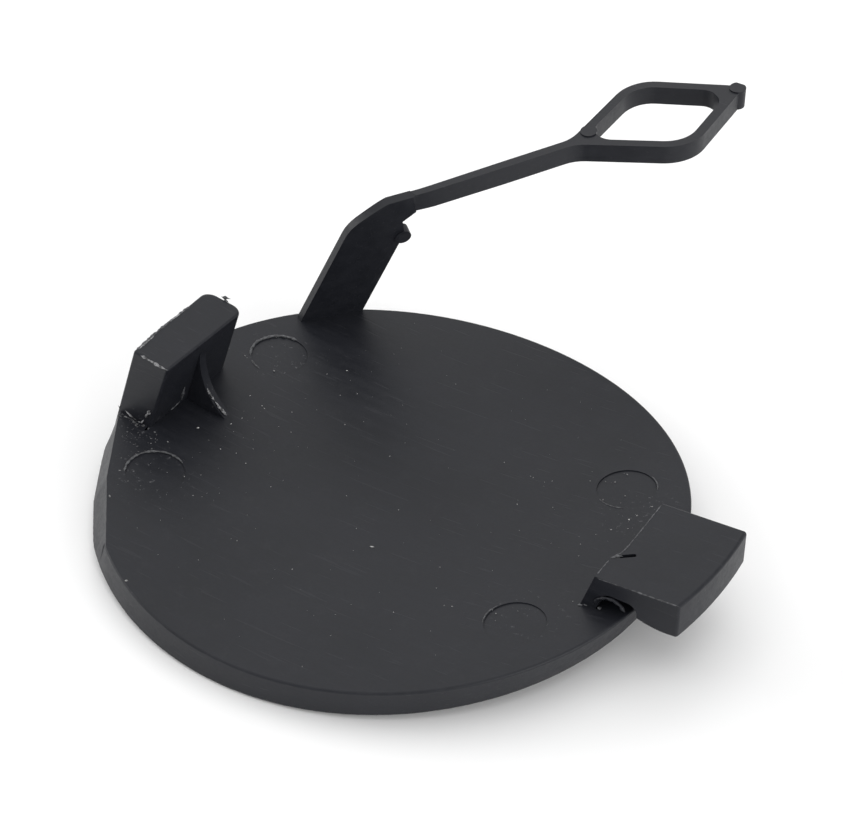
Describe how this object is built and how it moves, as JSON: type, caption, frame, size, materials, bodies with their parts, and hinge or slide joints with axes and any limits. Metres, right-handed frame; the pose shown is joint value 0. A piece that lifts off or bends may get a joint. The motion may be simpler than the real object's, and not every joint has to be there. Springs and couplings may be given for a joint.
{
  "type": "bumper tow hook cover",
  "caption": "Round black plastic cover for the towing eye opening in a bumper, with a snap tab, a slotted tongue and a retaining strap that ends in a loop.",
  "frame": {"origin": "middle of the curved show face, on its lowest line, straight under the centre of the disc", "axes": "+Z from the show face to the inner side, +X from the snap tab to the tongue, +Y to the side where the strap leaves the disc"},
  "size_m": [0.0778, 0.1053, 0.024],
  "materials": {
    "cover_plastic": "matt moulded surface with a slight sheen"
  },
  "bodies": {
    "root": {"tow_hook_cover": "cover_plastic"}
  },
  "joints": []
}
